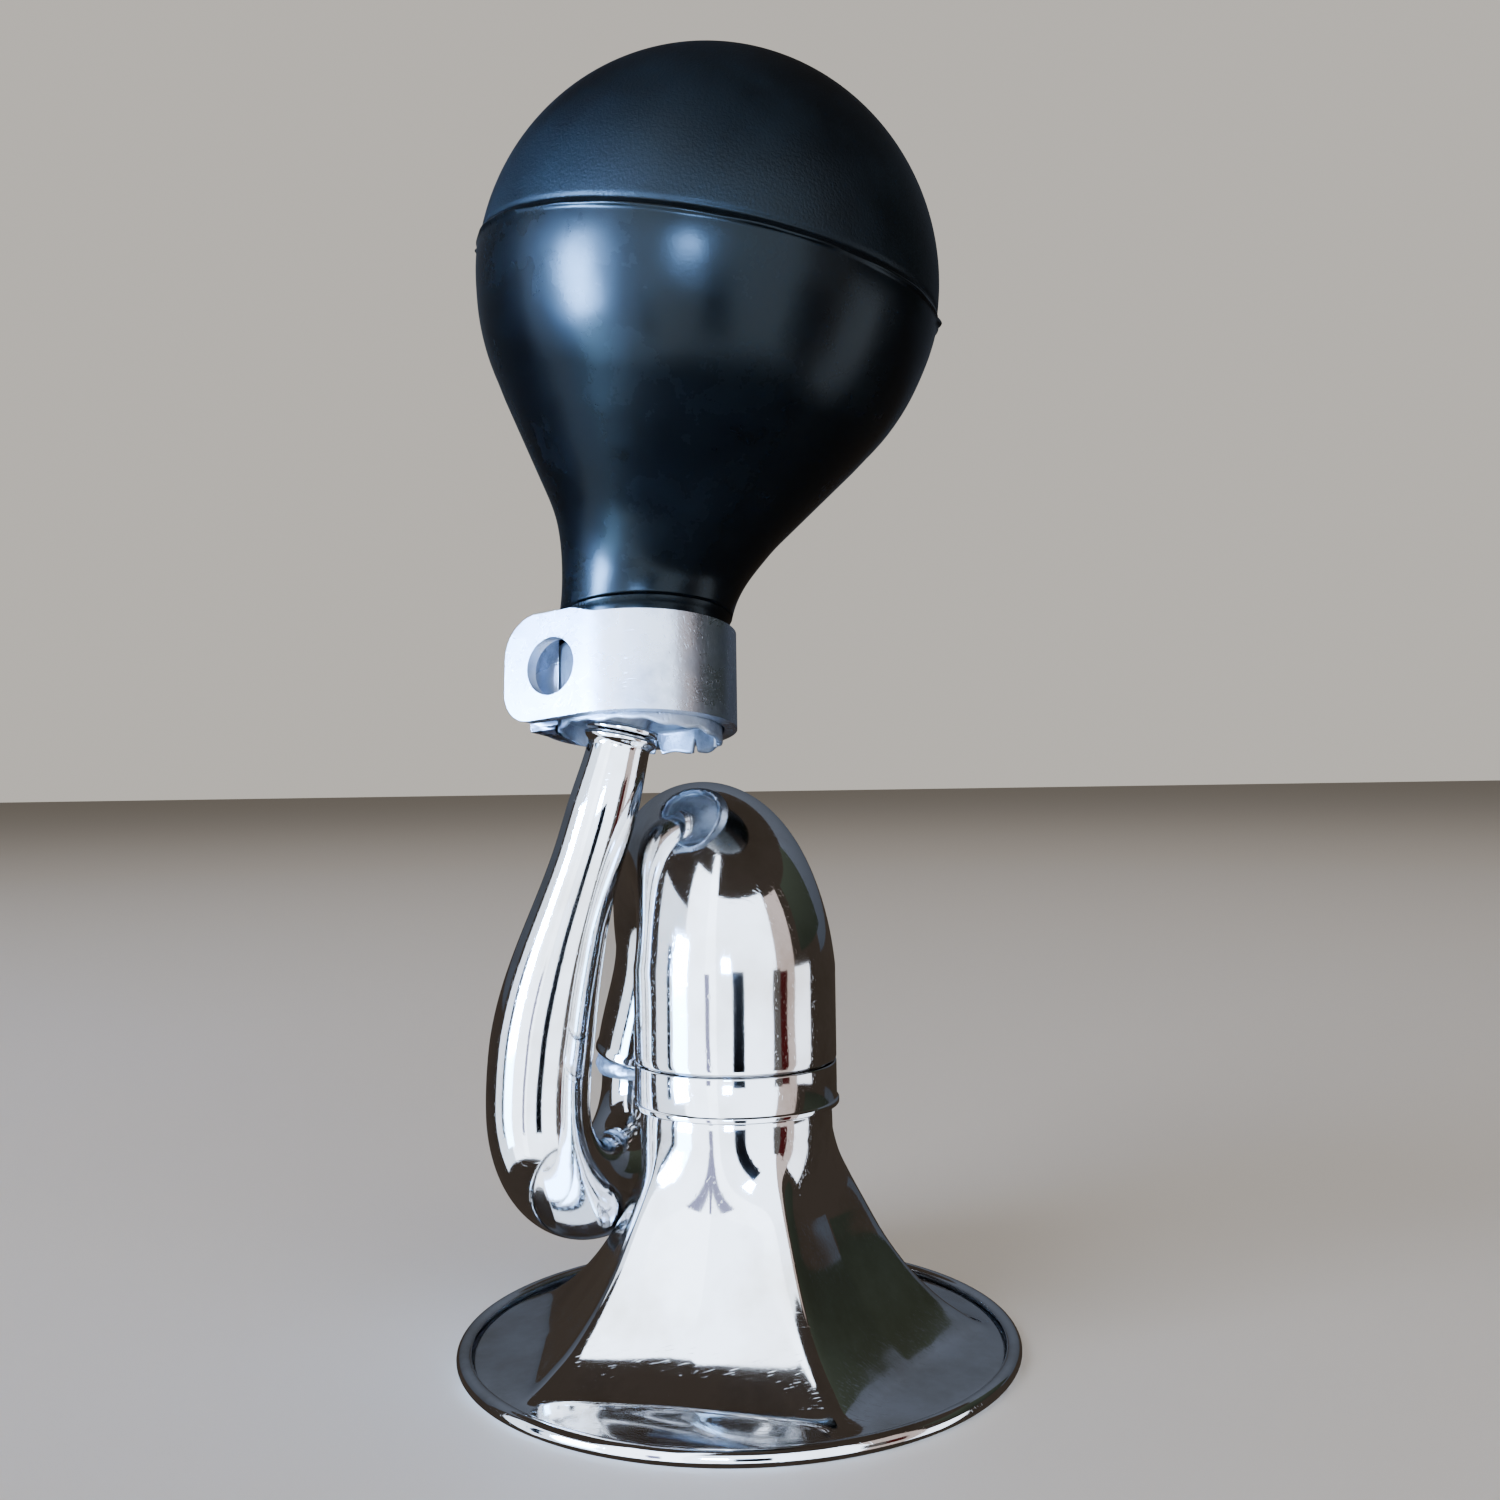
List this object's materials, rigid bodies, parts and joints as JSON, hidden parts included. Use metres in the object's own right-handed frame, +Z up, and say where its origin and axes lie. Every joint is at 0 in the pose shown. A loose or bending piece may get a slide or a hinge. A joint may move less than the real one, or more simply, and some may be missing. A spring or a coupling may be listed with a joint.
{
  "type": "bulb horn",
  "caption": "Hand-squeezed bulb horn: black rubber bulb, strap clamp with a holed ear, folded chrome tube and a five-sided flared bell that it stands on.",
  "frame": {"origin": "centre of the bell's rim, on the surface the horn stands on", "axes": "+Z up along the bell's axis, from the mouth towards the bulb; -Y the front, the side the lead pipe and the clamp's ear are on; +X to the right as seen from the front"},
  "size_m": [0.0848, 0.085, 0.1982],
  "materials": {
    "chrome": "polished",
    "rim_wire": "dull",
    "solder": "rough",
    "reed_brass": "satin",
    "dull_plate": "dull",
    "satin_plate": "satin",
    "rubber": "semi-gloss below the seam, matte above"
  },
  "bodies": {
    "horn": {"bell": "chrome", "rim_wire": "rim_wire", "bell_collar": "chrome", "upper_bend": "chrome", "lead_tube": "chrome", "joint_solder": "solder", "reed_socket": "chrome", "reed_shallot": "reed_brass", "reed_clip": "reed_brass", "neck_cup": "dull_plate"},
    "bulb": {"rubber_bulb": "rubber"},
    "clamp": {"neck_clamp": "satin_plate"},
    "tongue": {"reed_tongue": "reed_brass"}
  },
  "joints": [
    {"name": "bulb_squeeze", "type": "slide", "parent": "horn", "child": "bulb", "axis": [-0.2053, 0.0374, -0.978], "range_m": [0, 0.02], "stiffness_N_per_m": 1500, "deforming": ["rubber_bulb"]},
    {"name": "clamp_swivel", "type": "hinge", "parent": "horn", "child": "clamp", "pos_m": [-0.0142, 0.0045, 0.0939], "axis": [0, 0.1959, 0.9806], "continuous": true},
    {"name": "reed_flex", "type": "hinge", "parent": "horn", "child": "tongue", "pos_m": [-0.0142, 0.0035, 0.1065], "axis": [0.9782, 0, -0.2078], "range_deg": [-1.2, 1.2], "stiffness_Nm_per_rad": 0.02}
  ]
}
